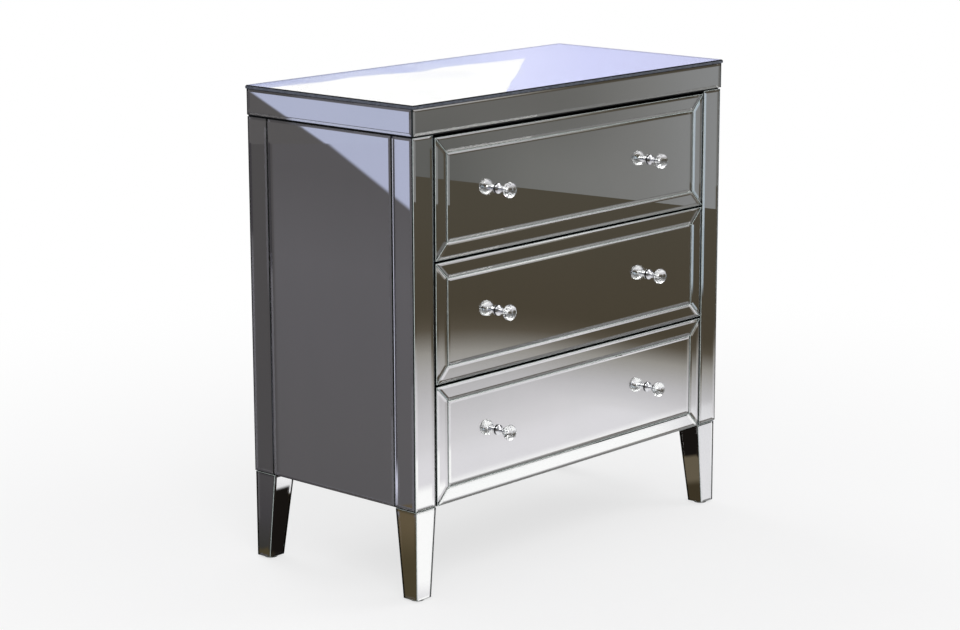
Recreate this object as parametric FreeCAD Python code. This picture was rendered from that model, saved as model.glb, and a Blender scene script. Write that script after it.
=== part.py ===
import FreeCAD, Part
import math
import os

# A chest of three drawers, clad in bevelled mirror, on four tapered legs.
# Millimetres, +Z up, front towards -Y, +X to the right of someone who faces the front.
# The origin is on the floor, in the middle of the whole chest's outline, knobs included.

# Whole chest
chest_width = 780.0        # across the top mirror
chest_depth = 377.0        # from the front of the top mirror to the back of the chest
chest_height = 800.0
leg_height = 151.0         # from the floor to the underside of the body

# Mirror glass
mirror_thickness = 4.0
top_mirror_thickness = 6.0
top_arris = 1.0            # the ground corner round the top mirror's upper face
bevel_width = 4.5
bevel_drop = 1.0           # how much thinner the glass is at a bevelled edge
seam = 0.5                 # between neighbouring mirrors

# Frieze, the mirrored band under the top
frieze_height = 43.0
top_lip = 1.0              # the top mirror stands out this far past the frieze
frieze_lip = 1.0           # the frieze stands out this far past the body
shadow_gap = 2.0           # bare black rail that shows between frieze and body mirrors

# Boards of the body
post_width = 46.0          # across the mirror on a corner post
post_depth = 30.0
side_strip_width = 45.0    # across the narrow mirrors at the ends of each side
side_board_thickness = 15.0
bottom_board_thickness = 16.0
top_board_thickness = 18.0
frieze_rail_thickness = 18.0
back_panel_thickness = 6.0
divider_height = 18.0
divider_depth = 50.0

# Drawers
drawer_count = 3
drawer_gap = 4.0           # between one drawer front and the next
drawer_side_gap = 3.5      # between a drawer front and a post
drawer_top_gap = 4.5       # between the top drawer front and the frieze rail
drawer_proud = 0.5         # drawer fronts stand out this far past the post mirrors
front_board_thickness = 16.0
border_width = 26.5        # across the mitred mirrors round a drawer front
box_board_thickness = 12.0
box_bottom_thickness = 5.0
box_bottom_lift = 8.0      # from the lower edge of a drawer box to its bottom panel
box_groove_depth = 5.0
box_floor_clearance = 6.0  # under the lowest drawer box
box_head_clearance = 33.0  # from the top of a drawer front down to the top of its box
box_rear_clearance = 15.0  # behind a drawer box
stop_gap = 0.3             # between a shut drawer and the rail that stops it

# Runners
runner_space = 12.7        # between a drawer box and a post, for the runner
runner_height = 42.0
runner_wall = 1.2
runner_clearance = 0.4     # round the sliding member in its channel
runner_setback = 2.0       # from the back of the drawer front to the runner's end

# Knobs
knob_spacing = 386.0
knob_ball_radius = 13.0
knob_ball_half_length = 10.0  # along the knob's axis, where the ball is a little flattened
knob_ball_reach = 23.5     # from the drawer front to the ball's centre
knob_sides = 16
knob_rows = 6
knob_table_angle = 66.0    # latitude of the rim of the flat facet at the ball's front
knob_neck_angle = 52.0     # latitude at which the ball runs into its neck
knob_base_length = 13.5    # from the drawer front to the glass
knob_base_radius = 8.5
knob_base_edge = 1.2
knob_base_slope = 2.3      # length of the cone between the rim and the stem
knob_stem_radius = 5.0
knob_cup_radius = 7.0      # where the stem widens to hold the glass
knob_cup_length = 3.5
screw_radius = 2.0
screw_head_radius = 4.5
screw_head_thickness = 2.2
screw_grip = 8.0           # length of screw inside the glass
screw_clearance = 0.1      # round the screw inside the glass
screw_hole_clearance = 0.5 # round the screw in the boards and mirrors

# Legs
leg_top_width = 48.0
foot_width = 35.0          # across the front of a leg at its foot
foot_depth = 32.0          # along the side of a leg at its foot
leg_inset = 1.0            # from the body's faces to the leg's
leg_seam = 1.0             # from the underside of the body to the leg mirrors
glide_radius = 11.0
glide_height = 3.0

# Planes from front to back
knob_tip = knob_ball_reach + knob_ball_half_length * math.sin(math.radians(knob_table_angle))
knob_overhang = knob_tip + drawer_proud - top_lip - frieze_lip
back = (chest_depth + knob_overhang) / 2
top_front = back - chest_depth
frieze_front = top_front + top_lip
body_front = frieze_front + frieze_lip
drawer_front = body_front - drawer_proud
post_front = body_front + mirror_thickness
front_board_front = drawer_front + mirror_thickness
front_board_back = front_board_front + front_board_thickness
back_panel_front = back - back_panel_thickness
box_rear = back_panel_front - box_rear_clearance
divider_front = front_board_back + stop_gap
runner_front = front_board_back + runner_setback

# Planes from the middle to the side; the chest is the same on the left and the right
top_side = chest_width / 2
frieze_side = top_side - top_lip
body_side = frieze_side - frieze_lip
board_side = body_side - mirror_thickness
board_inside = board_side - side_board_thickness
post_inside = body_side - post_width
drawer_side = post_inside - drawer_side_gap
box_side = post_inside - runner_space
box_inside = box_side - box_board_thickness

# Levels from the floor up
top_underside = chest_height - top_mirror_thickness
frieze_bottom = top_underside - frieze_height
body_top = frieze_bottom - shadow_gap
top_board_bottom = top_underside - top_board_thickness
body_bottom = leg_height
bottom_board_top = body_bottom + bottom_board_thickness
drawer_stack_top = body_top - drawer_top_gap
drawer_pitch = (drawer_stack_top - body_bottom + drawer_gap) / drawer_count
front_height = drawer_pitch - drawer_gap
box_lift = bottom_board_thickness + box_floor_clearance
leg_bottom = glide_height
leg_mirror_top = body_bottom - leg_seam

LEFT, RIGHT = -1, 1
FRONT, REAR = -1, 1


def point(x, y, z):
    return FreeCAD.Vector(x, y, z)


def save(name, *solids):
    """Writes one node, made of one solid or of several that are alike."""
    shape = solids[0] if len(solids) == 1 else Part.makeCompound(solids)
    shape.exportStep("parts/" + name + ".step")


def block(xs, ys, zs):
    """A square-cut board between two planes on each axis."""
    (x0, x1), (y0, y1), (z0, z1) = sorted(xs), sorted(ys), sorted(zs)
    return Part.makeBox(x1 - x0, y1 - y0, z1 - z0, point(x0, y0, z0))


def solid_through(rings):
    """A closed solid whose flat faces run from ring to ring; all rings have as many corners."""
    loops = [rings[0], rings[-1]]
    for low, high in zip(rings, rings[1:]):
        for i in range(len(low)):
            loops.append([low[i - 1], low[i], high[i], high[i - 1]])
    faces = [Part.Face(Part.makePolygon(loop + loop[:1])) for loop in loops]
    solid = Part.Solid(Part.Shell(faces))
    if solid.Volume < 0:
        solid.reverse()
    return solid


def facing(corners):
    """The outward normal of corners that run counter-clockwise as seen from outside."""
    return (corners[1] - corners[0]).cross(corners[2] - corners[1]).normalize()


def inset(corners, distance):
    """The same outline with every edge moved inwards by one distance."""
    normal = facing(corners)
    moved = []
    for i, corner in enumerate(corners):
        arriving = normal.cross((corner - corners[i - 1]).normalize())
        leaving = normal.cross((corners[(i + 1) % len(corners)] - corner).normalize())
        moved.append(corner + (arriving + leaving) * (distance / (1 + arriving.dot(leaving))))
    return moved


def between(near, far, share):
    return [a + (b - a) * share for a, b in zip(near, far)]


def bevelled(face, behind):
    """A mirror from its face outline to the outline behind it, bevelled all round the face."""
    edge = between(face, behind, bevel_drop / mirror_thickness)
    return solid_through([behind, edge, inset(face, bevel_width)])


def behind_by(face, depth):
    return [corner - facing(face) * depth for corner in face]


def mirror(outline):
    """A flat bevelled mirror, cut half a seam short of its outline on every side."""
    face = inset(outline, seam / 2)
    return bevelled(face, behind_by(face, mirror_thickness))


def front_outline(xs, y, zs):
    return [point(xs[0], y, zs[0]), point(xs[1], y, zs[0]), point(xs[1], y, zs[1]), point(xs[0], y, zs[1])]


def side_outline(side, x, ys, zs):
    """A rectangle that faces left or right; ys is (front, rear)."""
    front, rear = ys if side == RIGHT else reversed(ys)
    return [point(side * x, front, zs[0]), point(side * x, rear, zs[0]),
            point(side * x, rear, zs[1]), point(side * x, front, zs[1])]


def rod_to_rear(x, y, z, radius, length):
    return Part.makeCylinder(radius, length, point(x, y, z), point(0, 1, 0))


# Top and frieze

def top_mirror():
    """The plain sheet on top, with a fine ground corner in place of a bevel."""
    face = [point(-top_side, top_front, chest_height), point(top_side, top_front, chest_height),
            point(top_side, back, chest_height), point(-top_side, back, chest_height)]
    return solid_through([behind_by(face, top_mirror_thickness), behind_by(face, top_arris),
                          inset(face, top_arris)])


def frieze_mirror_front():
    return mirror(front_outline((-frieze_side, frieze_side), frieze_front, (frieze_bottom, top_underside)))


def frieze_mirror_side(side):
    ys = (frieze_front + mirror_thickness, back)
    return mirror(side_outline(side, frieze_side, ys, (frieze_bottom, top_underside)))


def top_board():
    x = frieze_side - mirror_thickness
    return block((-x, x), (frieze_front + mirror_thickness, back), (top_board_bottom, top_underside))


def frieze_rails():
    """The four rails of the frame that carries the top board and the frieze mirrors."""
    outside = frieze_side - mirror_thickness
    inside = outside - frieze_rail_thickness
    front = frieze_front + mirror_thickness
    levels = (body_top, top_board_bottom)
    front_rail = block((-outside, outside), (front, front + frieze_rail_thickness), levels)
    rear_rail = block((-outside, outside), (back - frieze_rail_thickness, back), levels)
    side_ys = (front + frieze_rail_thickness, back - frieze_rail_thickness)
    side_rails = [block((side * inside, side * outside), side_ys, levels) for side in (LEFT, RIGHT)]
    return [front_rail, rear_rail] + side_rails


# Body

def side_board(side):
    return block((side * board_inside, side * board_side), (post_front, back), (body_bottom, body_top))


def corner_post(side, end):
    if end == FRONT:
        ys = (post_front, post_front + post_depth)
    else:
        ys = (back_panel_front - post_depth, back_panel_front)
    return block((side * post_inside, side * board_inside), ys, (body_bottom, body_top))


def bottom_board():
    """The floor of the body, notched round the four corner posts."""
    board = block((-board_inside, board_inside), (divider_front, back_panel_front),
                  (body_bottom, bottom_board_top))
    return board.cut([corner_post(side, end) for side in (LEFT, RIGHT) for end in (FRONT, REAR)])


def back_panel():
    return block((-board_inside, board_inside), (back_panel_front, back), (body_bottom, body_top))


def divider_rail(number):
    """The rail behind the gap over drawer number + 1; drawer 1 is at the top."""
    middle = drawer_bottom(number) - drawer_gap / 2
    return block((-post_inside, post_inside), (divider_front, divider_front + divider_depth),
                 (middle - divider_height / 2, middle + divider_height / 2))


def post_mirror(side):
    xs = sorted((side * post_inside, side * body_side))
    return mirror(front_outline(xs, body_front, (body_bottom, body_top)))


def side_mirrors(side):
    """The three mirrors of one side, from the front strip to the rear one."""
    stops = [post_front, body_front + mirror_thickness + side_strip_width, back - side_strip_width, back]
    return [mirror(side_outline(side, body_side, ys, (body_bottom, body_top)))
            for ys in zip(stops, stops[1:])]


# Legs

def leg_section(side, end, margin, width, depth, z):
    """One level of a leg: its outer corner stays in line while the inner faces draw in."""
    outer_x = side * (body_side - leg_inset)
    outer_y = body_front + leg_inset if end == FRONT else back
    inner_x = outer_x - side * width
    inner_y = outer_y - end * depth
    x0, x1 = sorted((outer_x, inner_x))
    y0, y1 = sorted((outer_y, inner_y))
    return [point(x0 + margin, y0 + margin, z), point(x1 - margin, y0 + margin, z),
            point(x1 - margin, y1 - margin, z), point(x0 + margin, y1 - margin, z)]


def leg_levels(side, end, margin, top):
    """The foot and the top of a leg's skin, a margin inside its outer faces."""
    foot = leg_section(side, end, margin, foot_width, foot_depth, leg_bottom)
    head = leg_section(side, end, margin, leg_top_width, leg_top_width, body_bottom)
    return foot, between(foot, head, (top - leg_bottom) / (body_bottom - leg_bottom))


def leg_core(side, end):
    return solid_through(leg_levels(side, end, mirror_thickness, body_bottom))


def leg_mirrors(side, end):
    """Four bevelled mirrors, mitred to one another along the leg's corners."""
    outer_foot, outer_head = leg_levels(side, end, 0, leg_mirror_top)
    core_foot, core_head = leg_levels(side, end, mirror_thickness, leg_mirror_top)
    plates = []
    for i in range(len(outer_foot)):
        face = [outer_foot[i - 1], outer_foot[i], outer_head[i], outer_head[i - 1]]
        behind = [core_foot[i - 1], core_foot[i], core_head[i], core_head[i - 1]]
        plates.append(bevelled(face, behind))
    return plates


def foot_glide(side, end):
    foot = leg_section(side, end, 0, foot_width, foot_depth, 0)
    return Part.makeCylinder(glide_radius, glide_height, (foot[0] + foot[2]) / 2)


# Runners: a channel on the posts and a member on the drawer that slides inside it

def channel_profile(side, web, mouth, middle, height):
    """A C-shaped section, open from its web towards its mouth."""
    inward = runner_wall if mouth > web else -runner_wall
    low, high = middle - height / 2, middle + height / 2
    corners = [(web, low), (mouth, low), (mouth, low + runner_wall), (web + inward, low + runner_wall),
               (web + inward, high - runner_wall), (mouth, high - runner_wall), (mouth, high), (web, high)]
    return [point(side * x, runner_front, z) for x, z in corners]


def channel(side, web, mouth, middle, height):
    corners = channel_profile(side, web, mouth, middle, height)
    section = Part.Face(Part.makePolygon(corners + corners[:1]))
    return section.extrude(point(0, box_rear - runner_front, 0))


def runner_channel(side, number):
    mouth = box_side + runner_wall + runner_clearance
    return channel(side, post_inside, mouth, runner_level(number), runner_height)


def runner_member(side, number):
    height = runner_height - 2 * (runner_wall + runner_clearance)
    mouth = post_inside - runner_wall - runner_clearance
    return channel(side, box_side, mouth, runner_level(number), height)


# Drawers, numbered from the top

def drawer_bottom(number):
    return drawer_stack_top - front_height - (number - 1) * drawer_pitch


def drawer_levels(number):
    return drawer_bottom(number), drawer_bottom(number) + front_height


def box_levels(number):
    low, high = drawer_levels(number)
    return low + box_lift, high - box_head_clearance


def runner_level(number):
    return sum(box_levels(number)) / 2


def knob_places(number):
    level = sum(drawer_levels(number)) / 2
    return [(side * knob_spacing / 2, level) for side in (LEFT, RIGHT)]


def screw_holes(number):
    radius = screw_radius + screw_hole_clearance
    depth = mirror_thickness + front_board_thickness
    return [rod_to_rear(x, drawer_front, z, radius, depth) for x, z in knob_places(number)]


def front_board(number):
    board = block((-drawer_side, drawer_side), (front_board_front, front_board_back), drawer_levels(number))
    return board.cut(screw_holes(number))


def centre_mirror(number):
    low, high = drawer_levels(number)
    edge = drawer_side - border_width
    outline = front_outline((-edge, edge), drawer_front, (low + border_width, high - border_width))
    return mirror(outline).cut(screw_holes(number))


def border_mirrors(number):
    """Four bevelled mirrors, mitred at the corners of the drawer front."""
    outer = front_outline((-drawer_side, drawer_side), drawer_front, drawer_levels(number))
    inner = inset(outer, border_width)
    return [mirror([outer[i - 1], outer[i], inner[i], inner[i - 1]]) for i in range(len(outer))]


def box_bottom(number):
    low = box_levels(number)[0] + box_bottom_lift
    x = box_inside + box_groove_depth
    return block((-x, x), (front_board_back, box_rear), (low, low + box_bottom_thickness))


def box_sides(number):
    """The two side boards, grooved for the bottom panel."""
    sides = [block((side * box_inside, side * box_side), (front_board_back, box_rear), box_levels(number))
             for side in (LEFT, RIGHT)]
    return [board.cut(box_bottom(number)) for board in sides]


def box_back(number):
    """The rear board, which stands on the bottom panel."""
    low, high = box_levels(number)
    low = low + box_bottom_lift + box_bottom_thickness
    return block((-box_inside, box_inside), (box_rear - box_board_thickness, box_rear), (low, high))


# Knobs: a faceted glass ball on a turned metal stem, and a screw from behind

def knob_profile():
    """Distance from the drawer front and radius, from the metal cup to the ball's front."""
    start = math.radians(-knob_neck_angle)
    step = math.radians(knob_table_angle + knob_neck_angle) / knob_rows
    ball = [(knob_ball_reach + knob_ball_half_length * math.sin(start + step * row),
             knob_ball_radius * math.cos(start + step * row)) for row in range(knob_rows + 1)]
    return [(knob_base_length, knob_cup_radius)] + ball


def knob_ball(x, z):
    step = 2 * math.pi / knob_sides
    rings = []
    for distance, radius in knob_profile():
        rings.append([point(x + radius * math.cos(step * (i + 0.5)), drawer_front - distance,
                            z + radius * math.sin(step * (i + 0.5))) for i in range(knob_sides)])
    socket_radius = screw_radius + screw_clearance
    socket = rod_to_rear(x, drawer_front - knob_base_length - screw_grip, z, socket_radius, screw_grip)
    return solid_through(rings).cut(socket)


def cone_to_front(x, z, distance, length, rear_radius, front_radius):
    """A cone that starts a distance before the drawer front."""
    return Part.makeCone(rear_radius, front_radius, length, point(x, drawer_front - distance, z),
                         point(0, -1, 0))


def knob_base(x, z):
    rim = rod_to_rear(x, drawer_front - knob_base_edge, z, knob_base_radius, knob_base_edge)
    slope = cone_to_front(x, z, knob_base_edge, knob_base_slope, knob_base_radius, knob_stem_radius)
    stem = rod_to_rear(x, drawer_front - knob_base_length, z, knob_stem_radius, knob_base_length)
    cup = cone_to_front(x, z, knob_base_length - knob_cup_length, knob_cup_length, knob_stem_radius,
                        knob_cup_radius)
    hole_radius = screw_radius + screw_hole_clearance
    hole = rod_to_rear(x, drawer_front - knob_base_length, z, hole_radius, knob_base_length)
    return rim.fuse([slope, stem, cup]).removeSplitter().cut(hole)


def knob_screw(x, z):
    tip = drawer_front - knob_base_length - screw_grip
    shank = rod_to_rear(x, tip, z, screw_radius, front_board_back - tip)
    head = rod_to_rear(x, front_board_back, z, screw_head_radius, screw_head_thickness)
    return shank.fuse(head)


def build_top():
    save("top_mirror", top_mirror())
    save("frieze_mirror_front", frieze_mirror_front())
    save("frieze_mirror_left", frieze_mirror_side(LEFT))
    save("frieze_mirror_right", frieze_mirror_side(RIGHT))
    save("top_board", top_board())
    save("frieze_rails", *frieze_rails())


def build_body():
    corners = [(side, end) for side in (LEFT, RIGHT) for end in (FRONT, REAR)]
    save("corner_posts", *[corner_post(side, end) for side, end in corners])
    save("bottom_board", bottom_board())
    save("back_panel", back_panel())
    save("divider_rails", *[divider_rail(number) for number in range(1, drawer_count)])
    for side, word in ((LEFT, "left"), (RIGHT, "right")):
        save("side_board_" + word, side_board(side))
        save("post_mirror_" + word, post_mirror(side))
        for place, plate in zip(("front", "centre", "rear"), side_mirrors(side)):
            save("side_mirror_" + word + "_" + place, plate)
    numbers = range(1, drawer_count + 1)
    save("runner_channels", *[runner_channel(side, number) for number in numbers for side in (LEFT, RIGHT)])


def build_legs():
    corners = {"front_left": (LEFT, FRONT), "front_right": (RIGHT, FRONT),
               "rear_left": (LEFT, REAR), "rear_right": (RIGHT, REAR)}
    for name, (side, end) in corners.items():
        save("leg_core_" + name, leg_core(side, end))
        save("leg_mirrors_" + name, *leg_mirrors(side, end))
    save("foot_glides", *[foot_glide(side, end) for side, end in corners.values()])


def build_drawer(number):
    name = "drawer_" + str(number) + "_"
    save(name + "front_board", front_board(number))
    save(name + "centre_mirror", centre_mirror(number))
    save(name + "border_mirrors", *border_mirrors(number))
    save(name + "sides", *box_sides(number))
    save(name + "back", box_back(number))
    save(name + "bottom", box_bottom(number))
    save(name + "knob_balls", *[knob_ball(x, z) for x, z in knob_places(number)])
    save(name + "knob_bases", *[knob_base(x, z) for x, z in knob_places(number)])
    save(name + "knob_screws", *[knob_screw(x, z) for x, z in knob_places(number)])
    save(name + "runners", *[runner_member(side, number) for side in (LEFT, RIGHT)])


os.makedirs("parts", exist_ok=True)
build_top()
build_body()
build_legs()
for number in range(1, drawer_count + 1):
    build_drawer(number)
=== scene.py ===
import math

import bmesh
import bpy
from mathutils import Matrix, Vector

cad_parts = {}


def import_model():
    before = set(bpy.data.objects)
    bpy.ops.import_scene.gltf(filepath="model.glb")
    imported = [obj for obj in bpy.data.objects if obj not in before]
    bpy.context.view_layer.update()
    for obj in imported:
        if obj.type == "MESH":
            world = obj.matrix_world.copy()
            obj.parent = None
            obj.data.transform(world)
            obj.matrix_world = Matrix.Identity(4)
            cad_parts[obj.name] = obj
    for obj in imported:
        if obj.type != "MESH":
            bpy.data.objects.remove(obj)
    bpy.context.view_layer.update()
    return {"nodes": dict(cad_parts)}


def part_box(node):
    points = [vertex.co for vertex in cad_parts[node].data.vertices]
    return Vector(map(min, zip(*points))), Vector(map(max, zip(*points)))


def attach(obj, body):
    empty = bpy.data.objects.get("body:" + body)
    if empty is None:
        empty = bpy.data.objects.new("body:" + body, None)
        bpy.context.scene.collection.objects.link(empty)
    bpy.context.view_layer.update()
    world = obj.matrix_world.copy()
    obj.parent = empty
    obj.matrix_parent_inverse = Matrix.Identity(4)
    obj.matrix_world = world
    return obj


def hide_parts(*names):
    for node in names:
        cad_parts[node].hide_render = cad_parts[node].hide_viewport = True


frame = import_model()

# The looks of a mirror-clad chest of three drawers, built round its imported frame.
# Metres, +Z up, front towards -Y, +X to the right of someone who faces the front.

MM = 0.001
MERGE = 0.01 * MM          # points nearer to each other than this are one point

# Glass
GLASS_IOR = 1.52
CORNER_IOR = 1.25          # painted shade: a lower index, so that the dark corners of the side and frieze mirrors shine less
# painted shade: a lower index still, so that the top sheet's upper corner shines even less
TOP_CORNER_IOR = 1.15
SHEET = 4 * MM             # thickness of the bevelled mirrors
BEVEL = 4.5 * MM           # width of the slope round a mirror
DROP = 1.0 * MM            # how far the slope falls towards the mirror's edge
SEAM = 0.5 * MM            # between two mirrors
ARRIS = 0.6 * MM           # the narrow ground corner round a mirror
TOP_ARRIS = 1.7 * MM       # round the upper face of the top sheet
LOW_ARRIS = 0.5 * MM       # round its lower face
BORDER = 26.5 * MM         # width of the mitred mirrors round a drawer front
GLUE = 0.05 * MM           # between the silvering and the board behind it

# Knobs
KNOB_SPACING = 386 * MM
BALL_RADIUS = 13 * MM
BALL_HALF_LENGTH = 10 * MM # along the knob's axis, where the ball is a little flattened
BALL_REACH = 23.5 * MM     # from the drawer front to the ball's middle
BALL_SIDES = 16
BALL_ROWS = 6
TABLE_ANGLE = 66           # latitude of the flat at the ball's front, degrees
NECK_ANGLE = 52            # latitude at which the ball runs into its neck, degrees
SOCKET_RADIUS = 2.1 * MM
SOCKET_DEPTH = 8 * MM
BASE_RADIUS = 8.5 * MM
BASE_LENGTH = 13.5 * MM    # from the drawer front to the glass
STEM_RADIUS = 5 * MM
CUP_RADIUS = 7 * MM        # where the stem widens to hold the glass
SCREW_RADIUS = 2 * MM
SCREW_HEAD_RADIUS = 4.5 * MM
SCREW_HEAD_HEIGHT = 2.2 * MM
STEM_SIDES = 40
SCREW_SIDES = 24

# Legs
LEG_INSET = 1 * MM
LEG_TOP_WIDTH = 48 * MM
FOOT_WIDTH = 35 * MM
FOOT_DEPTH = 32 * MM
GLIDE_HEIGHT = 3 * MM
LEG_SEAM = 1 * MM

# Boards, runners and pads
BOARD_EDGE = 0.6 * MM      # the softened corner of a painted board
PANEL_EDGE = 0.3 * MM      # of a drawer's thin bottom panel
STEEL_EDGE = 0.35 * MM     # of a rolled steel runner
PAD_EDGE = 0.8 * MM        # of a nylon pad
FRIEZE_RAIL = 18 * MM      # thickness of the rails behind the frieze mirrors
FRONT_BOARD = 16 * MM      # thickness of a drawer's front board

# Screws of the rear panel
HEAD_PROUD = 0.6 * MM      # how far their heads stand out of it
SCREW_INSET = 12 * MM      # from the panel's edges to the screws
PANEL_SCREW_RADIUS = 3.5 * MM
PANEL_SCREW_SIDES = 20
SCREWS_ACROSS = 5
SCREWS_UP = 4

DRAWERS = (1, 2, 3)
SIDES = {"left": -1, "right": 1}

# Camera
CAMERA_PLACE = (-3.2466, -2.9207, 1.3501)
CAMERA_TURN = -47.58       # degrees, from +Y
CAMERA_DROP = 12.486       # degrees below level
CAMERA_ROLL = -0.17
CAMERA_LENS = 97.93        # millimetres, for a sensor of this width:
CAMERA_SENSOR = 36.0

# Lamps: name, place, width, watts
LAMPS = (("key", (-2.4, -2.6, 3.4), 2.2, 60),
         ("fill", (2.8, -2.0, 2.6), 2.0, 30),
         ("rear", (0.4, 3.0, 3.2), 2.2, 40))
LAMP_AIM = (0, 0, 0.4)
WHITE = (1.0, 1.0, 1.0, 1.0)
SOFT_LIGHT = 0.55          # strength of the light from all round

# The cards that the mirrors see: the floor's outline, with its walls standing on it
WALLS = ((-6.655, 0.415), (-3.12, 0.415), (-2.41, -4.4), (2.41, -4.4), (3.12, 0.415),
         (6.655, 0.415))
FAR_CORNER = (0.0, 7.07)
WALL_HEIGHT = 3.2
CARD_LIFT = 0.5 * MM       # of the floor's card above the floor
DIAGONAL = 0.7071          # the far walls stand at 45 degrees
REAR_GLOW = 1.2            # strength of the far walls, where the others have 1


# ---------------------------------------------------------------- finishes

def shade(red, green, blue):
    """A colour as it is seen on a screen, 0 to 255, in the numbers that a shader takes."""
    parts = [c / 255 for c in (red, green, blue)]
    linear = [c / 12.92 if c <= 0.04045 else ((c + 0.055) / 1.055) ** 2.4 for c in parts]
    return (*linear, 1.0)


class Value:
    """A socket in a node tree that takes part in ordinary arithmetic."""

    def __init__(self, finish, socket):
        self.finish = finish
        self.socket = socket

    def math(self, operation, *others):
        inputs = dict(enumerate((self,) + others))
        return self.finish.node("Math", {"operation": operation}, inputs)

    def __add__(self, other):
        return self.math("ADD", other)

    def __sub__(self, other):
        return self.math("SUBTRACT", other)

    def __rsub__(self, other):
        return self.finish.node("Math", {"operation": "SUBTRACT"}, {0: other, 1: self})

    def __mul__(self, other):
        return self.math("MULTIPLY", other)

    def __truediv__(self, other):
        return self.math("DIVIDE", other)

    __radd__ = __add__
    __rmul__ = __mul__

    def size(self):
        """The value without its sign."""
        return self.math("ABSOLUTE")

    def above(self, level, softness):
        """0 below the level and 1 above it, with a soft step of that width."""
        inputs = {"Value": self, "From Min": level - softness / 2, "From Max": level + softness / 2}
        return self.finish.node("MapRange", {"interpolation_type": "SMOOTHSTEP"}, inputs)

    def below(self, level, softness):
        """1 below the level and 0 above it, with the same soft step."""
        return 1.0 - self.above(level, softness)

    def ramp(self, *stops):
        """A colour from (place, colour) stops."""
        return self.finish.node("ValToRGB", {"stops": stops}, {"Fac": self})


class Finish:
    """The node tree of a material or a world, and the few nodes that every finish is made of."""

    def __init__(self, name, owner=None):
        self.material = owner or bpy.data.materials.new(name)
        self.material.use_nodes = True
        self.tree = self.material.node_tree
        self.tree.nodes.clear()

    def node(self, kind, settings=None, inputs=None, output=0):
        """Adds a node, and gives back one of its outputs as a value."""
        made = self.tree.nodes.new("ShaderNode" + kind)
        for key, value in (settings or {}).items():
            if key == "stops":
                elements = made.color_ramp.elements
                while len(elements) < len(value):
                    elements.new(1.0)
                for element, (place, colour) in zip(elements, value):
                    element.position = place
                    element.color = colour
            else:
                setattr(made, key, value)
        for key, value in (inputs or {}).items():
            if isinstance(value, Value):
                self.tree.links.new(value.socket, made.inputs[key])
            else:
                made.inputs[key].default_value = value
        return Value(self, made.outputs[output]) if made.outputs else None

    def place(self):
        """Where a point lies, in metres."""
        return self.node("TexCoord", output="Object")

    def axes(self):
        """The three coordinates of that place."""
        parts = self.node("SeparateXYZ", inputs={"Vector": self.place()})
        outputs = parts.socket.node.outputs
        return [Value(self, outputs[i]) for i in range(3)]

    def stretched(self, x, y, z):
        """That place scaled on each axis, so that a noise runs lengthwise."""
        return self.node("VectorMath", {"operation": "MULTIPLY"}, {0: self.place(), 1: (x, y, z)})

    def noise(self, place, scale, detail=2.0, roughness=0.5, distortion=0.0):
        inputs = {"Vector": place, "Scale": scale, "Detail": detail, "Roughness": roughness,
                  "Distortion": distortion}
        return self.node("TexNoise", None, inputs)

    def mix(self, share, first, second):
        return self.node("Mix", {"data_type": "RGBA"}, {0: share, 6: first, 7: second}, output=2)

    def bump(self, height, distance):
        return self.node("Bump", None, {"Height": height, "Distance": distance, "Strength": 1.0})

    def principled(self, **inputs):
        named = {key.replace("_", " "): value for key, value in inputs.items()}
        return self.node("BsdfPrincipled", None, named)

    def surface(self, shader):
        """The finished material."""
        self.node("OutputMaterial", None, {"Surface": shader})
        return self.material


def sheet_glass_finish(name, wave):
    """Clear sheet glass in front of the silvering: faint wipe marks, and never quite flat."""
    finish = Finish(name)
    wiped = finish.noise(finish.stretched(1.0, 1.0, 0.35), 7.0, 4.0, 0.6, 1.2)
    colour = finish.mix(wiped.above(0.55, 0.4), (0.985, 0.99, 0.987, 1.0),
                        (0.965, 0.977, 0.972, 1.0))
    normal = finish.bump(finish.noise(finish.place(), 3.2, 1.0), wave)
    return finish.surface(finish.principled(
        Base_Color=colour, Roughness=wiped.above(0.6, 0.3) * 0.008, IOR=GLASS_IOR,
        Transmission_Weight=1.0, Normal=normal))


def silvering_finish():
    """The silver behind the glass, with a slight cloud."""
    finish = Finish("silvering")
    cloud = finish.noise(finish.place(), 5.0, 3.0)
    colour = finish.mix(cloud, (0.96, 0.957, 0.947, 1.0), (0.93, 0.93, 0.92, 1.0))
    return finish.surface(finish.principled(
        Base_Color=colour, Metallic=1.0, Roughness=cloud * 0.006))


def glass_edge_finish(name, deep, pale, roughness, ior=GLASS_IOR):
    """The worked edge of a sheet, or its corner, where one doesn't see through the glass."""
    finish = Finish(name)
    streaks = finish.noise(finish.place(), 160.0, 3.0, 0.6)
    colour = finish.mix(streaks.above(0.5, 0.5), deep, pale)
    rough = streaks * 0.12 + roughness
    return finish.surface(finish.principled(Base_Color=colour, Roughness=rough, IOR=ior))


def crystal_finish():
    """Clear glass with a few finger marks."""
    finish = Finish("clear_crystal")
    print_marks = finish.noise(finish.place(), 130.0, 3.0).above(0.62, 0.25)
    return finish.surface(finish.principled(
        Base_Color=finish.mix(print_marks * 0.3, (0.985, 0.99, 0.99, 1.0), (0.93, 0.95, 0.95, 1.0)),
        Roughness=print_marks * 0.03, IOR=GLASS_IOR, Transmission_Weight=1.0))


def chrome_finish():
    """Chrome plate, polished by hand."""
    finish = Finish("polished_chrome")
    cloud = finish.noise(finish.place(), 240.0, 3.0)
    colour = finish.mix(cloud, (0.66, 0.66, 0.68, 1.0), (0.78, 0.78, 0.80, 1.0))
    return finish.surface(finish.principled(
        Base_Color=colour, Metallic=1.0, Roughness=cloud * 0.08 + 0.04))


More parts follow.
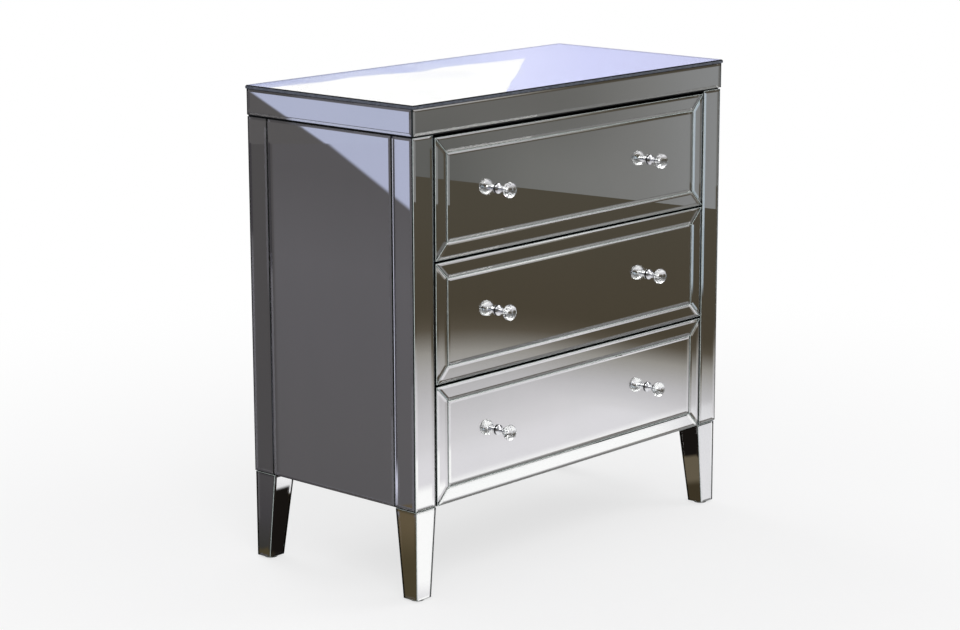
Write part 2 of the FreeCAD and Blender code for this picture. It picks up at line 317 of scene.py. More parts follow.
def zinc_finish():
    """Bright zinc plate, drawn lengthwise in the rolling mill."""
    finish = Finish("zinc_plate")
    drawn = finish.noise(finish.stretched(1.0, 0.02, 1.0), 1400.0, 2.0)
    cloud = finish.noise(finish.place(), 35.0, 4.0)
    colour = finish.mix(cloud, (0.54, 0.56, 0.58, 1.0), (0.70, 0.70, 0.70, 1.0))
    return finish.surface(finish.principled(
        Base_Color=colour, Metallic=1.0, Roughness=drawn * 0.16 + cloud * 0.12 + 0.18,
        Normal=finish.bump(drawn, 0.00002)))


def paint_finish(name, dark, light, roughness, grain):
    """Satin paint on fibreboard, with the slight orange peel of a sprayed coat."""
    finish = Finish(name)
    peel = finish.noise(finish.place(), 420.0, 2.0)
    cloud = finish.noise(finish.place(), 9.0, 4.0, 0.6)
    rub = finish.noise(finish.stretched(1.0, 1.0, 0.2), 60.0, 5.0, 0.7).above(0.66, 0.1)
    colour = finish.mix(cloud, dark, light)
    colour = finish.mix(rub * 0.25, colour, shade(62, 61, 60))
    return finish.surface(finish.principled(
        Base_Color=colour, Roughness=cloud * 0.12 + rub * 0.1 + roughness,
        Normal=finish.bump(peel, grain)))


def foil_finish(name, along):
    """Printed wood-grain foil on the drawer boxes; along gives the scale on each axis."""
    finish = Finish(name)
    fibre = finish.noise(finish.stretched(*along), 260.0, 5.0, 0.65)
    bands = finish.noise(finish.stretched(*along), 38.0, 3.0, 0.5, 1.5)
    pores = finish.noise(finish.stretched(*along), 900.0, 1.0).above(0.63, 0.08)
    colour = finish.mix(bands, shade(48, 43, 40), shade(84, 75, 68))
    colour = finish.mix(fibre.above(0.5, 0.6) * 0.5, colour, shade(38, 34, 32))
    colour = finish.mix(pores * 0.6, colour, shade(24, 21, 20))
    return finish.surface(finish.principled(
        Base_Color=colour, Roughness=fibre * 0.2 + 0.36,
        Normal=finish.bump(fibre - pores, 0.00006)))


def hardboard_finish():
    """Thin pressed board: flecked fibres under a thin dark coat."""
    finish = Finish("flecked_hardboard")
    fleck = finish.noise(finish.place(), 330.0, 4.0, 0.7)
    felt = finish.noise(finish.place(), 24.0, 3.0)
    colour = finish.mix(fleck.above(0.5, 0.4), shade(58, 53, 49), shade(88, 81, 74))
    colour = finish.mix(felt * 0.4, colour, shade(50, 46, 43))
    return finish.surface(finish.principled(
        Base_Color=colour, Roughness=fleck * 0.2 + 0.5, Normal=finish.bump(fleck, 0.00005)))


def nylon_finish():
    """Moulded nylon with a fine grit."""
    finish = Finish("black_nylon")
    grit = finish.noise(finish.place(), 700.0, 3.0)
    return finish.surface(finish.principled(
        Base_Color=finish.mix(grit, shade(40, 40, 41), shade(64, 63, 62)),
        Roughness=grit * 0.2 + 0.45, Normal=finish.bump(grit, 0.00008)))


SHEET_GLASS = sheet_glass_finish("clear_sheet_glass", 0.0003)
SLOPE_GLASS = sheet_glass_finish("polished_bevel_glass", 0.0001)
SILVERING = silvering_finish()
EDGE = glass_edge_finish("polished_glass_edge", shade(14, 20, 17), shade(32, 42, 38), 0.05)
GROUND = glass_edge_finish("ground_glass_corner", shade(176, 186, 182), shade(208, 216, 214), 0.28)
# Dark corners for the side and frieze mirrors: painted shade, where the other mirrors have pale
# ground corners
CORNER_PAINTED_SHADE = glass_edge_finish("glass_corner_painted_shade", shade(14, 18, 18), shade(30, 36, 36), 0.06,
                             CORNER_IOR)
# The top sheet's edge in lilac grey as a painted reflection, and its upper corner near black as
# painted shade
TOP_EDGE = glass_edge_finish("top_edge_painted_reflection", shade(72, 76, 84), shade(98, 102, 112), 0.04)
TOP_CORNER = glass_edge_finish("top_corner_painted_shade", shade(8, 9, 11), shade(20, 22, 26), 0.08,
                               TOP_CORNER_IOR)
CRYSTAL = crystal_finish()
CHROME = chrome_finish()
ZINC = zinc_finish()
BLACK_PAINT = paint_finish("satin_black_paint", shade(17, 17, 18), shade(27, 27, 28), 0.36, 0.00002)
REAR_PAINT = paint_finish("black_back_panel_paint", shade(26, 26, 27), shade(38, 37, 37), 0.5,
                          0.00005)
FOIL_LENGTHWISE = foil_finish("grain_front_to_back", (1.0, 0.06, 1.0))
FOIL_CROSSWISE = foil_finish("grain_side_to_side", (0.06, 1.0, 1.0))
HARDBOARD = hardboard_finish()
NYLON = nylon_finish()

# The finishes of a mirror's faces, in the order of the numbers below; the second set has its
# corners darkened as painted shade
GLASS_FINISHES = (SHEET_GLASS, SLOPE_GLASS, EDGE, GROUND, SILVERING)
CORNERS_IN_PAINTED_SHADE = (SHEET_GLASS, SLOPE_GLASS, EDGE, CORNER_PAINTED_SHADE, SILVERING)
# the top sheet's: a painted reflection on its edge, painted shade on its corner
TOP_FINISHES = (SHEET_GLASS, SLOPE_GLASS, TOP_EDGE, TOP_CORNER, SILVERING)
FACE, BAND, RIM, CORNER, BACK = range(5)


# ---------------------------------------------------------------- making pieces

def piece(mesh, name, finishes, body, nodes=()):
    """Turns a bmesh into a finished object that rides on a body."""
    bmesh.ops.recalc_face_normals(mesh, faces=mesh.faces)
    data = bpy.data.meshes.new(name)
    mesh.to_mesh(data)
    mesh.free()
    for finish in finishes:
        data.materials.append(finish)
    made = bpy.data.objects.new(name, data)
    bpy.context.scene.collection.objects.link(made)
    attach(made, body)
    if nodes:
        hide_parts(*nodes)


def rounded(mesh, angle=32):
    """Smooth shading, except over corners sharper than the angle."""
    for face in mesh.faces:
        face.smooth = True
    for edge in mesh.edges:
        if len(edge.link_faces) == 2 and edge.calc_face_angle() > math.radians(angle):
            edge.smooth = False


def outline(low, high, facing, depth):
    """The corners of a box's face, anticlockwise from outside, a depth behind its outer plane."""
    (x0, y0, z0), (x1, y1, z1) = low, high
    if facing == "front":
        y = y0 + depth
        return [(x0, y, z0), (x1, y, z0), (x1, y, z1), (x0, y, z1)]
    if facing == "left":
        x = x0 + depth
        return [(x, y1, z0), (x, y0, z0), (x, y0, z1), (x, y1, z1)]
    if facing == "right":
        x = x1 - depth
        return [(x, y0, z0), (x, y1, z0), (x, y1, z1), (x, y0, z1)]
    z = z1 - depth
    return [(x0, y0, z), (x1, y0, z), (x1, y1, z), (x0, y1, z)]


def slab(mesh, behind, front):
    """A closed slab between two outlines; gives back its front face."""
    rear = mesh.faces.new([mesh.verts.new(corner) for corner in reversed(behind)])
    face = mesh.faces.new([mesh.verts.new(corner) for corner in front])
    bmesh.ops.bridge_loops(mesh, edges=list(rear.edges) + list(face.edges))
    for side in [link for edge in face.edges for link in edge.link_faces]:
        side.material_index = RIM
    rear.material_index = BACK
    return face


def grind(mesh, edges, width):
    """Grinds a narrow flat along sharp edges."""
    made = bmesh.ops.bevel(mesh, geom=edges, offset=width, offset_type="OFFSET", segments=1,
                           profile=0.5, affect="EDGES", material=-1, clamp_overlap=True)
    for face in made["faces"]:
        face.material_index = CORNER


def bevelled_sheet(mesh, behind, front):
    """A mirror whose face slopes down to its edge all round."""
    face = slab(mesh, behind, front)
    band = bmesh.ops.inset_individual(mesh, faces=[face], thickness=BEVEL, depth=DROP,
                                      use_even_offset=True)["faces"]
    face.material_index = FACE
    for slope in band:
        slope.material_index = BAND
    outer = [edge for slope in band for edge in slope.edges
             if any(link.material_index == RIM for link in edge.link_faces)]
    grind(mesh, list(dict.fromkeys(outer)), ARRIS)


def shrunk(corners, distance):
    """An outline moved inwards on every side."""
    mesh = bmesh.new()
    face = mesh.faces.new([mesh.verts.new(corner) for corner in corners])
    bmesh.ops.inset_individual(mesh, faces=[face], thickness=distance, use_even_offset=True)
    moved = [vert.co.copy() for vert in face.verts]
    mesh.free()
    return moved


def flat_mirror(node, name, facing, finishes):
    """One rectangular bevelled mirror in place of a node."""
    mesh = bmesh.new()
    low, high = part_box(node)
    bevelled_sheet(mesh, outline(low, high, facing, SHEET - GLUE), outline(low, high, facing, DROP))
    piece(mesh, name, finishes, "carcass", [node])


def ease(mesh, edges, width):
    """Rounds edges a little."""
    bmesh.ops.bevel(mesh, geom=edges, offset=width, offset_type="OFFSET", segments=2, profile=0.5,
                    affect="EDGES", material=-1, clamp_overlap=True)


def softened(node, name, finish, body, width=BOARD_EDGE, angle=50):
    """A board with its corners eased, from a merged copy of its solid."""
    mesh = bmesh.new()
    mesh.from_mesh(frame["nodes"][node].data)
    bmesh.ops.remove_doubles(mesh, verts=mesh.verts, dist=MERGE)
    bmesh.ops.dissolve_limit(mesh, angle_limit=math.radians(1), verts=mesh.verts, edges=mesh.edges)
    sharp = [edge for edge in mesh.edges if len(edge.link_faces) == 2
             and edge.calc_face_angle() > math.radians(angle) and edge.calc_length() > 5 * MM]
    ease(mesh, sharp, width)
    for face in mesh.faces:
        face.material_index = 0
    piece(mesh, name, [finish], body, [node])


def turned(mesh, profile, centre, steps):
    """Turns (distance, radius) pairs about an axis that runs forwards from the centre."""
    verts = [mesh.verts.new(centre + Vector((radius, -distance, 0)))
             for distance, radius in profile]
    edges = [mesh.edges.new(pair) for pair in zip(verts, verts[1:])]
    bmesh.ops.spin(mesh, geom=verts + edges, cent=centre, axis=(0, 1, 0), angle=2 * math.pi,
                   steps=steps, use_merge=True)


# ---------------------------------------------------------------- top and frieze

def top_sheet():
    """The plain sheet on top: mirror above, a polished edge in lilac grey as a painted reflection,
    and a corner above it darkened as painted shade.
    """
    mesh = bmesh.new()
    low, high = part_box("top_mirror")
    face = slab(mesh, outline(low, high, "top", high.z - low.z - GLUE),
                outline(low, high, "top", 0))
    face.material_index = FACE
    under = [edge for edge in mesh.edges if all(vert.co.z < high.z - GLUE for vert in edge.verts)]
    grind(mesh, under, LOW_ARRIS)
    for corner in mesh.faces:
        if corner.material_index == CORNER:
            corner.material_index = RIM
    grind(mesh, list(face.edges), TOP_ARRIS)
    piece(mesh, "top_sheet", TOP_FINISHES, "carcass", ["top_mirror"])


def frieze():
    """The band of mirrors under the top."""
    flat_mirror("frieze_mirror_front", "front_frieze", "front", CORNERS_IN_PAINTED_SHADE)
    for word in SIDES:
        flat_mirror("frieze_mirror_" + word, word + "_frieze", word, CORNERS_IN_PAINTED_SHADE)


# ---------------------------------------------------------------- body

def body_mirrors():
    """One mirror on each front post, and three on each side."""
    for word in SIDES:
        flat_mirror("post_mirror_" + word, word + "_post_glass", "front", GLASS_FINISHES)
        for place in ("front", "centre", "rear"):
            flat_mirror(f"side_mirror_{word}_{place}", f"{word}_side_{place}_glass", word,
                        CORNERS_IN_PAINTED_SHADE)


def eased_board(mesh, low, high):
    """A plain board between two corners, with its own corners eased."""
    verts = bmesh.ops.create_cube(mesh, size=1.0)["verts"]
    bmesh.ops.scale(mesh, verts=verts, vec=high - low)
    bmesh.ops.translate(mesh, verts=verts, vec=(low + high) / 2)
    ease(mesh, list(dict.fromkeys(edge for vert in verts for edge in vert.link_edges)), BOARD_EDGE)


def frieze_frame():
    """Four rails butted together under the top board."""
    mesh = bmesh.new()
    low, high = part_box("frieze_rails")
    front, rear = low.y + FRIEZE_RAIL, high.y - FRIEZE_RAIL
    left, right = low.x + FRIEZE_RAIL, high.x - FRIEZE_RAIL
    eased_board(mesh, low, Vector((high.x, front, high.z)))
    eased_board(mesh, Vector((low.x, rear, low.z)), high)
    eased_board(mesh, Vector((low.x, front, low.z)), Vector((left, rear, high.z)))
    eased_board(mesh, Vector((right, front, low.z)), Vector((high.x, rear, high.z)))
    piece(mesh, "frieze_frame", [BLACK_PAINT], "carcass", ["frieze_rails"])


def back_board():
    """The rear panel, a little inside the plane of its screw heads."""
    mesh = bmesh.new()
    low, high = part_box("back_panel")
    eased_board(mesh, low, high - Vector((0, HEAD_PROUD, 0)))
    piece(mesh, "rear_panel", [REAR_PAINT], "carcass", ["back_panel"])


def rear_screws():
    """Cross-head screws round the rear panel."""
    low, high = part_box("back_panel")
    inset = Vector((SCREW_INSET, 0, SCREW_INSET))
    low, high = low + inset, high - inset
    across = [low.x + (high.x - low.x) * i / (SCREWS_ACROSS - 1) for i in range(SCREWS_ACROSS)]
    up = [low.z + (high.z - low.z) * i / (SCREWS_UP - 1) for i in range(SCREWS_UP)]
    places = [(x, z) for x in across for z in (up[0], up[-1])]
    places += [(x, z) for z in up[1:-1] for x in (across[0], across[-1])]
    mesh = bmesh.new()
    for x, z in places:
        screw_head(mesh, Vector((x, high.y, z)))
    bmesh.ops.remove_doubles(mesh, verts=mesh.verts, dist=MERGE)
    piece(mesh, "rear_panel_screws", [ZINC], "carcass")


def screw_head(mesh, place):
    """A low head with a small driver recess, looking backwards."""
    radius = PANEL_SCREW_RADIUS
    turned(mesh, [(2 * HEAD_PROUD, 0), (2 * HEAD_PROUD, radius), (HEAD_PROUD / 2, radius),
                  (0, radius * 0.72), (0, radius * 0.36), (HEAD_PROUD, radius * 0.2),
                  (HEAD_PROUD, 0)], place, PANEL_SCREW_SIDES)


def boards():
    """The black boards behind the mirrors."""
    for node in ("top_board", "side_board_left", "side_board_right", "corner_posts",
                 "bottom_board", "divider_rails"):
        softened(node, node.replace("_", "-"), BLACK_PAINT, "carcass")
    frieze_frame()
    back_board()
    rear_screws()


# ---------------------------------------------------------------- legs

def leg_section(side, end, margin, width, depth, z):
    """One level of a leg: its outer corner stays in line while the inner faces draw in."""
    low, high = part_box("post_mirror_" + ("left" if side < 0 else "right"))
    outer_x = side * (max(abs(low.x), abs(high.x)) + SEAM / 2 - LEG_INSET)
    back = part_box("back_panel")[1].y
    outer_y = low.y + LEG_INSET if end < 0 else back
    x0, x1 = sorted((outer_x, outer_x - side * width))
    y0, y1 = sorted((outer_y, outer_y - end * depth))
    return [Vector((x0 + margin, y0 + margin, z)), Vector((x1 - margin, y0 + margin, z)),
            Vector((x1 - margin, y1 - margin, z)), Vector((x0 + margin, y1 - margin, z))]


def leg_skin(side, end, margin, top, body_bottom):
    """The foot and the top of a leg's skin, a margin inside its outer faces."""
    foot = leg_section(side, end, margin, FOOT_WIDTH, FOOT_DEPTH, GLIDE_HEIGHT)
    head = leg_section(side, end, margin, LEG_TOP_WIDTH, LEG_TOP_WIDTH, body_bottom)
    share = (top - GLIDE_HEIGHT) / (body_bottom - GLIDE_HEIGHT)
    return foot, [low.lerp(high, share) for low, high in zip(foot, head)]


def leg(word, side, end):
    """Four bevelled mirrors, mitred to one another along the leg's corners."""
    body_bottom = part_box("back_panel")[0].z
    top = body_bottom - LEG_SEAM
    outer_foot, outer_head = leg_skin(side, end, 0, top, body_bottom)
    core_foot, core_head = leg_skin(side, end, SHEET - GLUE, top, body_bottom)
    share = DROP / (SHEET - GLUE)
    mesh = bmesh.new()
    for i in range(4):
        face = [outer_foot[i - 1], outer_foot[i], outer_head[i], outer_head[i - 1]]
        behind = [core_foot[i - 1], core_foot[i], core_head[i], core_head[i - 1]]
        edge = [a.lerp(b, share) for a, b in zip(face, behind)]
        bevelled_sheet(mesh, behind, edge)
    piece(mesh, word + "_leg_glass", GLASS_FINISHES, "carcass", ["leg_mirrors_" + word])
    softened("leg_core_" + word, word + "_leg_core", BLACK_PAINT, "carcass")


def legs():
    """Four legs and the pads they stand on."""
    for end_word, end in (("front", -1), ("rear", 1)):
        for side_word, side in SIDES.items():
            leg(end_word + "_" + side_word, side, end)
    softened("foot_glides", "foot_pads", NYLON, "carcass", PAD_EDGE, 60)


# ---------------------------------------------------------------- drawers

def border_glass(number):
    """Four bevelled mirrors, mitred at the corners of the drawer front."""
    body = f"drawer_{number}"
    low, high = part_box(body + "_front_board")
    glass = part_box(body + "_border_mirrors")[0].y
    low, high = Vector((low.x, glass, low.z)), Vector((high.x, glass, high.z))
    step = Vector((BORDER, 0, BORDER))
    outer = outline(low, high, "front", 0)
    inner = outline(low + step, high - step, "front", 0)
    mesh = bmesh.new()
    for i in range(4):
        strip = shrunk([outer[i - 1], outer[i], inner[i], inner[i - 1]], SEAM / 2)
        bevelled_sheet(mesh, [corner + Vector((0, SHEET - GLUE, 0)) for corner in strip],
                       [corner + Vector((0, DROP, 0)) for corner in strip])
    piece(mesh, body + "_border_glass", GLASS_FINISHES, body, [body + "_border_mirrors"])


def centre_glass(number):
    """The mirror inside the border, which the knobs stand on."""
    body = f"drawer_{number}"
    node = body + "_centre_mirror"
    low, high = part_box(node)
    mesh = bmesh.new()
    bevelled_sheet(mesh, outline(low, high, "front", SHEET - GLUE),
                   outline(low, high, "front", DROP))
    piece(mesh, body + "_centre_glass", GLASS_FINISHES, body, [node])


def knob_places(number):
    """Where the two knobs of a drawer meet its mirror."""
    low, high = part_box(f"drawer_{number}_front_board")
    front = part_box(f"drawer_{number}_centre_mirror")[0].y
    level = (low.z + high.z) / 2
    return [Vector((side * KNOB_SPACING / 2, front, level)) for side in SIDES.values()]


def ball_rows():
    """The rings of a ball's facets, from neck to table, as (distance, radius) pairs."""
    start = math.radians(-NECK_ANGLE)
    step = math.radians(TABLE_ANGLE + NECK_ANGLE) / BALL_ROWS
    angles = [start + step * row for row in range(BALL_ROWS + 1)]
    return [(BALL_REACH + BALL_HALF_LENGTH * math.sin(angle), BALL_RADIUS * math.cos(angle))
            for angle in angles]


def cut_ball(mesh, centre):
    """A clear ball with rows of three-cornered facets and a socket for its screw."""
    rows = ball_rows()
    socket = BASE_LENGTH + SOCKET_DEPTH
    profile = [(socket, 0), (socket, SOCKET_RADIUS), (BASE_LENGTH, SOCKET_RADIUS),
               (BASE_LENGTH, CUP_RADIUS)] + rows + [(rows[-1][0], 0)]
    before = set(mesh.verts)
    turned(mesh, profile, centre, BALL_SIDES)
    new = [vert for vert in mesh.verts if vert not in before]
    bmesh.ops.remove_doubles(mesh, verts=new, dist=MERGE)
    new = [vert for vert in mesh.verts if vert not in before]
    for distance, radius in rows[1::2]:
        ring = [vert for vert in new if abs(centre.y - distance - vert.co.y) < 2 * MERGE
                and (vert.co - centre).xz.length > radius / 2]
        bmesh.ops.rotate(mesh, verts=ring, cent=centre,
                         matrix=Matrix.Rotation(math.pi / BALL_SIDES, 3, "Y"))
    ball = [face for face in mesh.faces if all(vert not in before for vert in face.verts)]
    bmesh.ops.triangulate(mesh, faces=ball, quad_method="SHORT_EDGE", ngon_method="BEAUTY")


def turned_base(mesh, centre):
    """A rim, a cove, a slim stem with a bead, and a cup that holds the glass."""
    bore = SCREW_RADIUS + 0.5 * MM
    turned(mesh, [(0, bore), (0, BASE_RADIUS), (0.9 * MM, BASE_RADIUS),
                  (1.2 * MM, BASE_RADIUS - 0.3 * MM), (1.6 * MM, BASE_RADIUS - 1.0 * MM),
                  (2.4 * MM, BASE_RADIUS - 2.2 * MM), (3.4 * MM, STEM_RADIUS - 0.1 * MM),
                  (4.4 * MM, STEM_RADIUS - 0.5 * MM), (5.2 * MM, STEM_RADIUS - 0.4 * MM),
                  (5.7 * MM, STEM_RADIUS), (6.6 * MM, STEM_RADIUS),
                  (7.1 * MM, STEM_RADIUS - 0.4 * MM),
                  (8.4 * MM, STEM_RADIUS - 0.6 * MM), (10.0 * MM, STEM_RADIUS - 0.2 * MM),
                  (11.6 * MM, STEM_RADIUS + 0.7 * MM), (12.8 * MM, CUP_RADIUS - 0.45 * MM),
                  (BASE_LENGTH, CUP_RADIUS - 0.1 * MM), (BASE_LENGTH, bore), (0, bore)],
           centre, STEM_SIDES)


def knob_bolt(mesh, centre):
    """A screw from behind the drawer front, with a driver recess in its head."""
    back = FRONT_BOARD + SHEET
    head = back + SCREW_HEAD_HEIGHT
    tip = BASE_LENGTH + SOCKET_DEPTH
    turned(mesh, [(tip - 0.2 * MM, 0), (tip - 0.2 * MM, SCREW_RADIUS - 0.5 * MM),
                  (tip - 0.8 * MM, SCREW_RADIUS), (-back, SCREW_RADIUS),
                  (-back, SCREW_HEAD_RADIUS), (-back - 0.9 * MM, SCREW_HEAD_RADIUS),
                  (-back - 1.6 * MM, SCREW_HEAD_RADIUS - 0.7 * MM),
                  (-head, SCREW_HEAD_RADIUS - 2.0 * MM), (-head, 1.4 * MM),
                  (-head + 1.1 * MM, 0.9 * MM), (-head + 1.1 * MM, 0)], centre, SCREW_SIDES)


def knobs(number):
    """Two knobs of a drawer: balls, stems and screws."""
    body = f"drawer_{number}"
    prefix = body + "_knob_"
    balls, bases, bolts = bmesh.new(), bmesh.new(), bmesh.new()
    for centre in knob_places(number):
        cut_ball(balls, centre)
        turned_base(bases, centre)
        knob_bolt(bolts, centre)
    for mesh in (bases, bolts):
        bmesh.ops.remove_doubles(mesh, verts=mesh.verts, dist=MERGE)
        rounded(mesh)
    piece(balls, prefix + "crystals", [CRYSTAL], body, [prefix + "balls"])
    piece(bases, prefix + "stems", [CHROME], body, [prefix + "bases"])
    piece(bolts, prefix + "bolts", [ZINC], body, [prefix + "screws"])


def drawer_box(number):
    """The boards of a drawer."""
    body = f"drawer_{number}"
    softened(body + "_front_board", body + "_face_board", BLACK_PAINT, body)
    softened(body + "_sides", body + "_side_boards", FOIL_LENGTHWISE, body)
    softened(body + "_back", body + "_rear_board", FOIL_CROSSWISE, body)
    softened(body + "_bottom", body + "_floor", HARDBOARD, body, PANEL_EDGE)


def runners():
    """The channels on the posts, and the members that slide in them."""
    softened("runner_channels", "slide_channels", ZINC, "carcass", STEEL_EDGE)
    for number in DRAWERS:
        body = f"drawer_{number}"
        softened(body + "_runners", body + "_slides", ZINC, body, STEEL_EDGE)


# ---------------------------------------------------------------- stage

def stage_object(mesh, name, material):
    """Something that isn't part of the chest."""
    data = bpy.data.meshes.new(name)
    mesh.to_mesh(data)
    mesh.free()
    data.materials.append(material)
    made = bpy.data.objects.new(name, data)
    bpy.context.scene.collection.objects.link(made)
    return made


def seen_ray(finish):
    """1 where the camera looks, straight or by way of a mirror or glass."""
    rays = finish.node("LightPath")
    outputs = rays.socket.node.outputs
    shares = [Value(finish, outputs[name]) for name in
              ("Is Camera Ray", "Is Glossy Ray", "Is Transmission Ray")]
    return shares[0].math("MAXIMUM", shares[1].math("MAXIMUM", shares[2]))


def floor():
    """A pale floor that keeps soft shadows and fades to plain white away from the chest."""
    mesh = bmesh.new()
    bmesh.ops.create_grid(mesh, x_segments=1, y_segments=1, size=40)
    finish = Finish("pale_floor")
    x, y = finish.axes()[:2]
    distance = (x * x + y * y).math("SQRT")
    matt = finish.node("BsdfDiffuse", None, {"Color": (0.84, 0.84, 0.85, 1.0)})
    white = glow(finish, WHITE, 1.0)
    share = seen_ray(finish) * (distance.above(1.3, 1.6) * 0.3 + 0.7)
    mixed = finish.node("MixShader", None, {0: share, 1: matt, 2: white})
    stage_object(mesh, "floor", finish.surface(mixed))


def floor_ahead(finish, y, wide):
    """Before the chest: painted sunlight, nearly white at its foot, giving way to the browner floor
    further off, pale far to the sides.
    """
    # the share of painted sunlight on the floor, strongest near the chest
    sunlit_share = y.above(-1.22, 1.1) * wide.below(1.08, 0.68)
    tone = sunlit_share.ramp((0.0, shade(74, 67, 55)), (0.08, shade(90, 83, 72)),
                     (0.3, shade(152, 149, 144)), (0.7, shade(190, 188, 191)),
                     (0.87, shade(204, 202, 206)), (0.96, shade(215, 213, 217)),
                     (1.0, shade(225, 223, 228)))
    # the chest's foot in the fullest painted sunlight, brighter than white
    at_foot = finish.mix((wide + (y + 0.55) * 1.2).above(0.75, 0.2), (1.02, 1.02, 1.03, 1.0),
                         shade(229, 228, 232))
    tone = finish.mix(y.above(-0.61, 0.05) * sunlit_share.above(0.8, 0.4), tone, at_foot)
    tone = finish.mix((wide * 0.75 - y * 0.66).above(2.6, 2.4), tone, shade(78, 73, 63))
    return finish.mix(y.above(-1.32, 0.15) * wide.above(2.1, 0.2), tone, shade(168, 181, 192))


def floor_beside(finish, y, wide):
    """Beside the chest: the floor in painted shade, cool grey, and brown close to it; sunlit
    further off; darker painted shade towards the front; and a pale band as a painted glint.
    """
    tone = (wide / 4.0).ramp((0.17, shade(90, 88, 91)), (0.25, shade(93, 91, 94)),
                             (0.4, shade(95, 93, 97)), (0.55, shade(97, 95, 99)),
                             (0.8, shade(90, 88, 91)))
    shadow = (wide / 4.0).ramp((0.105, shade(56, 55, 53)), (0.14, shade(68, 66, 69)),
                               (0.2, shade(78, 76, 78)), (0.7, shade(80, 78, 79)))
    tone = finish.mix((y - wide * 1.0725).above(-0.2665, 0.01), tone, shadow)
    brown = finish.mix(wide.above(0.6, 0.2), shade(74, 66, 48), shade(98, 86, 66))
    tone = finish.mix(y.below(0.225, 0.02) * wide.below(0.775, 0.03), tone, brown)
    sunlit = (wide * 1.49 - y).above(2.08, 0.04) * wide.above(2.4, 0.1)
    tone = finish.mix(sunlit, tone, shade(177, 182, 208))
    # painted shade towards the front, which darkens the vertical bevels
    dark_front = (y - wide * 0.9616).below(-0.6, 0.03) * wide.above(0.85, 0.1)
    tone = finish.mix(dark_front, tone, shade(60, 58, 62))
    # a painted glint: a pale band that the bevels of the side mirrors show as highlight lines
    glint_for_bevels = (wide * 0.48 - y).above(0.18, 0.04) * wide.above(0.85, 0.2)
    return finish.mix(glint_for_bevels, tone, shade(216, 217, 238))


def floor_under(finish, x, y):
    """Under the chest: its painted shadow, black, and a painted pool of light, brown, where light
    comes in at the front right.
    """
    slant = x - y
    right = x.above(0.03, 0.02)
    tone = finish.mix(slant.above(0.21, 0.03) * right, shade(24, 21, 19), shade(100, 91, 75))
    return finish.mix(slant.above(0.38, 0.05) * right, tone, shade(62, 54, 40))


def ground_tones(finish, x, y):
    """The floor as the mirrors see it, with its painted sunlight and shade."""
    wide = x.size()
    past_side = y + wide.above(0.38, 0.02) * 0.17 - 0.02
    beside = past_side.math("MAXIMUM", y - x * 0.8 - 0.14).above(0.0, 0.02)
    tone = finish.mix(beside, floor_ahead(finish, y, wide), floor_beside(finish, y, wide))
    behind_front = (y + x.above(0.05, 0.04) * 0.153).above(-0.022, 0.012)
    under = wide.below(0.37, 0.03) * behind_front * y.below(0.4, 0.1)
    return finish.mix(under, tone, floor_under(finish, x, y))


def front_wall_tones(finish, y, z):
    """The near walls: paler towards the chest, with bands of grey above."""
    low = ((y + 3.1) / 3.1).ramp(
        (0.0, shade(96, 96, 94)), (0.065, shade(98, 98, 96)), (0.16, shade(114, 114, 112)),
        (0.29, shade(126, 126, 125)), (0.355, shade(136, 137, 138)), (0.45, shade(150, 156, 160)),
        (0.55, shade(176, 188, 198)), (0.75, shade(190, 200, 210)), (1.0, shade(110, 108, 106)))
    low = finish.mix(z.above(0.16, 0.25) * y.below(-2.35, 0.5), low, shade(104, 103, 101))
    high = (z / WALL_HEIGHT).ramp(
        (0.14, shade(108, 108, 106)), (0.20, shade(84, 83, 84)), (0.27, shade(122, 122, 121)),
        (0.35, shade(134, 134, 133)), (0.50, shade(118, 118, 118)), (0.60, shade(96, 97, 100)),
        (0.72, shade(240, 242, 246)), (0.84, shade(246, 248, 252)), (0.88, shade(120, 120, 122)))
    return finish.mix(z.above(0.45, 0.03), low, high)


def rear_wall_tones(finish, x, z, across):
    """The far walls: sunlit low down, grey above that, and white where the top sees them."""
    sunlit = (z - across * 0.72).above(0.136, 0.012) * across.above(-0.54, 0.04)
    lavender = shade(164, 169, 193)
    low = finish.mix(sunlit, shade(82, 80, 81), lavender)
    low = finish.mix((z - across * 0.22).above(0.272, 0.012), low, shade(70, 68, 71))
    bands = ((across + 1.1) / 1.7).ramp((0.0, shade(203, 206, 239)), (0.3, shade(210, 213, 249)),
                                        (0.45, shade(219, 222, 254)), (0.6, shade(206, 212, 242)),
                                        (1.0, shade(188, 194, 225)))
    white = (z - across * 0.105).above(1.4205, 0.004) * (across - z * 0.6).above(-1.187, 0.006)
    right = finish.mix(white, bands, WHITE)
    left = finish.mix(across.above(-0.06, 0.04), lavender, shade(72, 70, 72))
    return finish.mix(z.above(1.2, 0.1), low, finish.mix(x.above(0.0, 0.02), left, right))


def card(mesh, name, surface):
    """A glowing card that only mirrors and glass see, and that lights nothing."""
    made = stage_object(mesh, name, surface)
    made.visible_camera = False
    made.visible_diffuse = False
    made.visible_shadow = False
    made.visible_volume_scatter = False


def glow(finish, tone, strength):
    """Light of a tone, whatever falls on it."""
    return finish.node("Emission", None, {"Color": tone, "Strength": strength})


def wall_card(name, corners, surface):
    """Walls that stand on a line of corners."""
    mesh = bmesh.new()
    foot = [mesh.verts.new((x, y, 0.0)) for x, y in corners]
    edges = [mesh.edges.new(pair) for pair in zip(foot, foot[1:])]
    made = bmesh.ops.extrude_edge_only(mesh, edges=edges)["geom"]
    verts = [item for item in made if isinstance(item, bmesh.types.BMVert)]
    bmesh.ops.translate(mesh, verts=verts, vec=(0, 0, WALL_HEIGHT))
    card(mesh, name, surface)


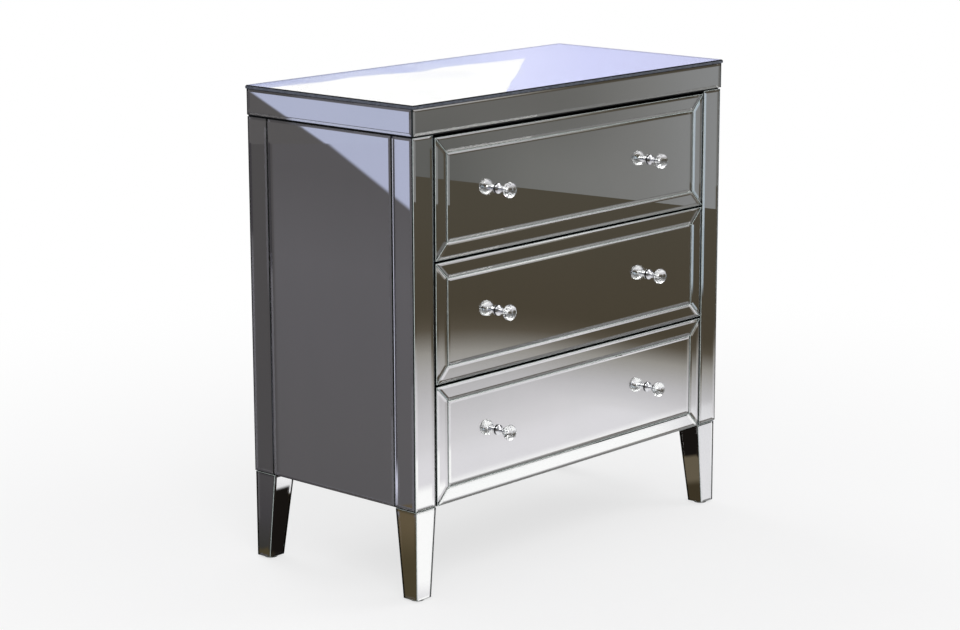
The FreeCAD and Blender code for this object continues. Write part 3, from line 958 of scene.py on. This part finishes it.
def cards():
    """What the mirrors see, a room painted as reflections: a card on the floor, near walls before
    the chest, far ones behind.
    """
    mesh = bmesh.new()
    mesh.faces.new([mesh.verts.new((x, y, CARD_LIFT)) for x, y in (FAR_CORNER,) + WALLS])
    finish = Finish("floor_card_tones")
    x, y = finish.axes()[:2]
    card(mesh, "floor_card", finish.surface(glow(finish, ground_tones(finish, x, y), 1.0)))

    finish = Finish("front_wall_tones")
    y, z = finish.axes()[1:]
    tones = front_wall_tones(finish, y, z)
    wall_card("front_wall_card", WALLS, finish.surface(glow(finish, tones, 1.0)))

    finish = Finish("rear_wall_tones")
    x, y, z = finish.axes()
    tones = rear_wall_tones(finish, x, z, (y - x.size()) * DIAGONAL)
    wall_card("rear_wall_card", (WALLS[-1], FAR_CORNER, WALLS[0]),
              finish.surface(glow(finish, tones, REAR_GLOW)))


def lamp(name, place, width, power):
    """A round soft lamp that looks at the chest."""
    data = bpy.data.lights.new(name, "AREA")
    data.shape = "DISK"
    data.size = width
    data.energy = power
    made = bpy.data.objects.new(name, data)
    made.location = place
    made.rotation_euler = (Vector(LAMP_AIM) - Vector(place)).to_track_quat("-Z", "Y").to_euler()
    bpy.context.scene.collection.objects.link(made)


def world():
    """A soft white all round, and plain white where it is seen."""
    surroundings = bpy.data.worlds.new("studio")
    bpy.context.scene.world = surroundings
    finish = Finish("studio", surroundings)
    soft = finish.node("Background", None, {"Color": WHITE, "Strength": SOFT_LIGHT})
    seen = finish.node("Background", None, {"Color": WHITE, "Strength": 1.0})
    mixed = finish.node("MixShader", None, {0: seen_ray(finish), 1: soft, 2: seen})
    finish.node("OutputWorld", None, {"Surface": mixed})


def camera():
    """The view from the front left, a little above the top."""
    data = bpy.data.cameras.new("camera")
    data.sensor_width = CAMERA_SENSOR
    data.lens = CAMERA_LENS
    made = bpy.data.objects.new("camera", data)
    turn = Matrix.Rotation(math.radians(CAMERA_TURN), 4, "Z")
    nod = Matrix.Rotation(math.radians(90 - CAMERA_DROP), 4, "X")
    roll = Matrix.Rotation(math.radians(CAMERA_ROLL), 4, "Z")
    made.matrix_world = Matrix.Translation(CAMERA_PLACE) @ turn @ nod @ roll
    bpy.context.scene.collection.objects.link(made)
    bpy.context.scene.camera = made


top_sheet()
frieze()
body_mirrors()
boards()
legs()
for number in DRAWERS:
    border_glass(number)
    centre_glass(number)
    knobs(number)
    drawer_box(number)
runners()
floor()
cards()
for name, place, width, power in LAMPS:
    lamp(name, place, width, power)
world()
camera()

bpy.context.scene.view_settings.view_transform = "Standard"
